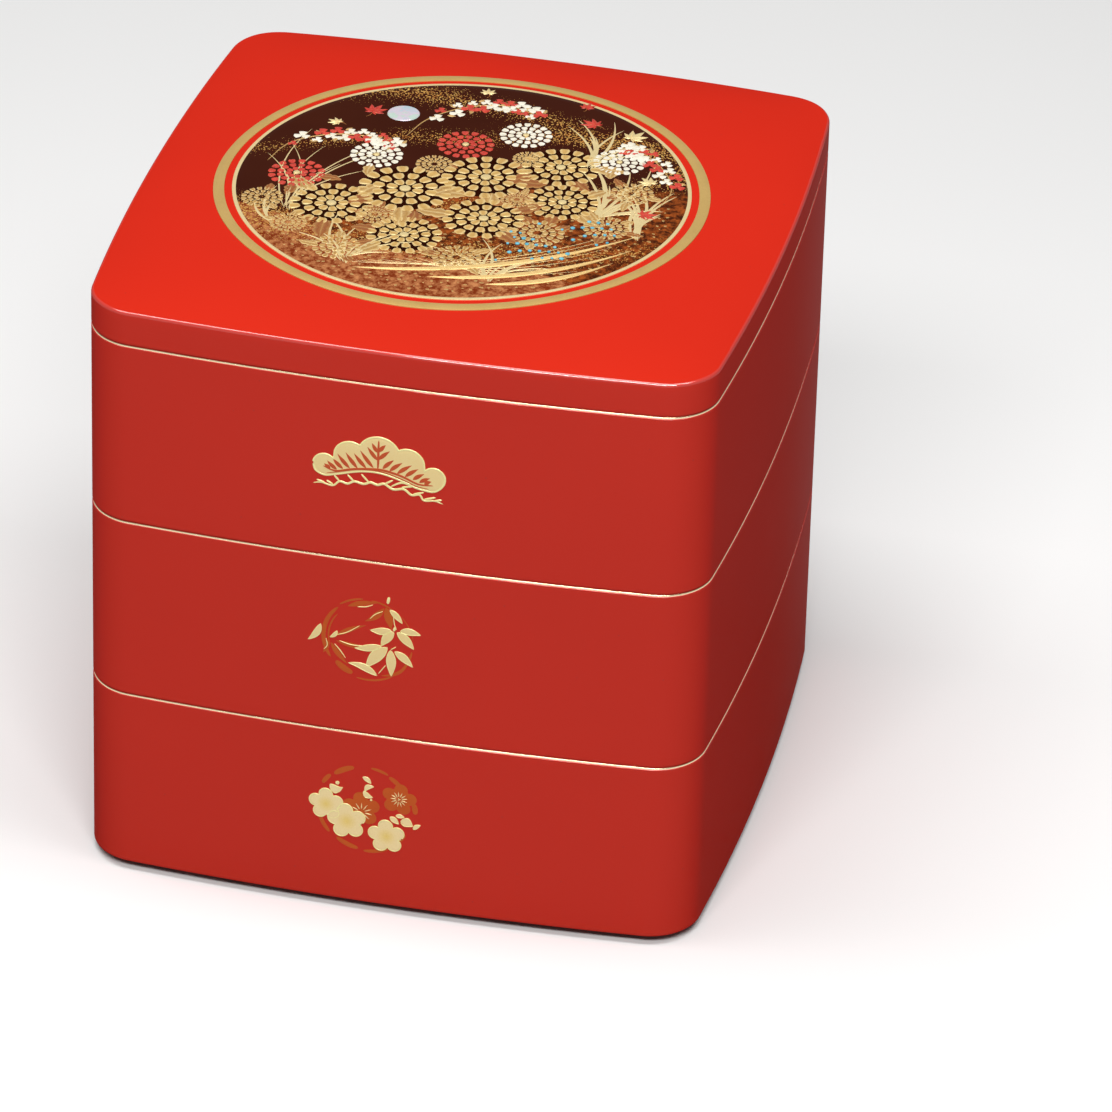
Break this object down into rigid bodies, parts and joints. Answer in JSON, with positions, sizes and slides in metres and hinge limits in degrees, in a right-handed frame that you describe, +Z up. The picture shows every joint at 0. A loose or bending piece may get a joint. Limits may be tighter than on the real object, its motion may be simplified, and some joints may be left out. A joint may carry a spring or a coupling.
{
  "type": "stacking box",
  "caption": "Square stacking food box with bowed sides: deep tiers that nest foot into mouth, gold rims, crests on the front and a crowned lid with a round medallion",
  "frame": {"origin": "the middle of the surface that the box stands on", "axes": "+Z up the stack, -Y the front with the crests, +X to the right of a viewer who faces the front"},
  "size_m": [0.18, 0.1802, 0.1828],
  "materials": {
    "vermilion_lacquer": "high gloss vermilion lacquer",
    "black_lacquer": "gloss black lacquer",
    "medallion_ground": "dark brown lacquer dusted with gold",
    "gold_rim": "fine gold powder, satin",
    "gold_relief": "pale gold powder, raised",
    "pearl_shell": "polished mother-of-pearl"
  },
  "bodies": {
    "lower_tier": {"lower_wall": "vermilion_lacquer", "lower_floor": "black_lacquer", "lower_foot": "black_lacquer", "lower_rim": "gold_rim", "plum_crest": "gold_relief"},
    "middle_tier": {"middle_wall": "vermilion_lacquer", "middle_floor": "black_lacquer", "middle_foot": "black_lacquer", "middle_rim": "gold_rim", "bamboo_crest": "gold_relief"},
    "upper_tier": {"upper_wall": "vermilion_lacquer", "upper_floor": "black_lacquer", "upper_foot": "black_lacquer", "upper_rim": "gold_rim", "pine_crest": "gold_relief"},
    "lid": {"lid_board": "vermilion_lacquer", "lid_skirt": "vermilion_lacquer", "lid_ring": "black_lacquer", "medallion_ground": "medallion_ground", "medallion_line": "gold_rim", "medallion_band": "gold_rim", "medallion_flowers": "gold_relief", "medallion_stream": "gold_relief", "pearl_moon": "pearl_shell"}
  },
  "joints": [
    {"name": "lift_middle_tier", "type": "slide", "parent": "lower_tier", "child": "middle_tier", "axis": [0, 0, 1], "range_m": [0, 0.07]},
    {"name": "lift_upper_tier", "type": "slide", "parent": "middle_tier", "child": "upper_tier", "axis": [0, 0, 1], "range_m": [0, 0.07]},
    {"name": "lift_lid", "type": "slide", "parent": "upper_tier", "child": "lid", "axis": [0, 0, 1], "range_m": [0, 0.07]}
  ]
}
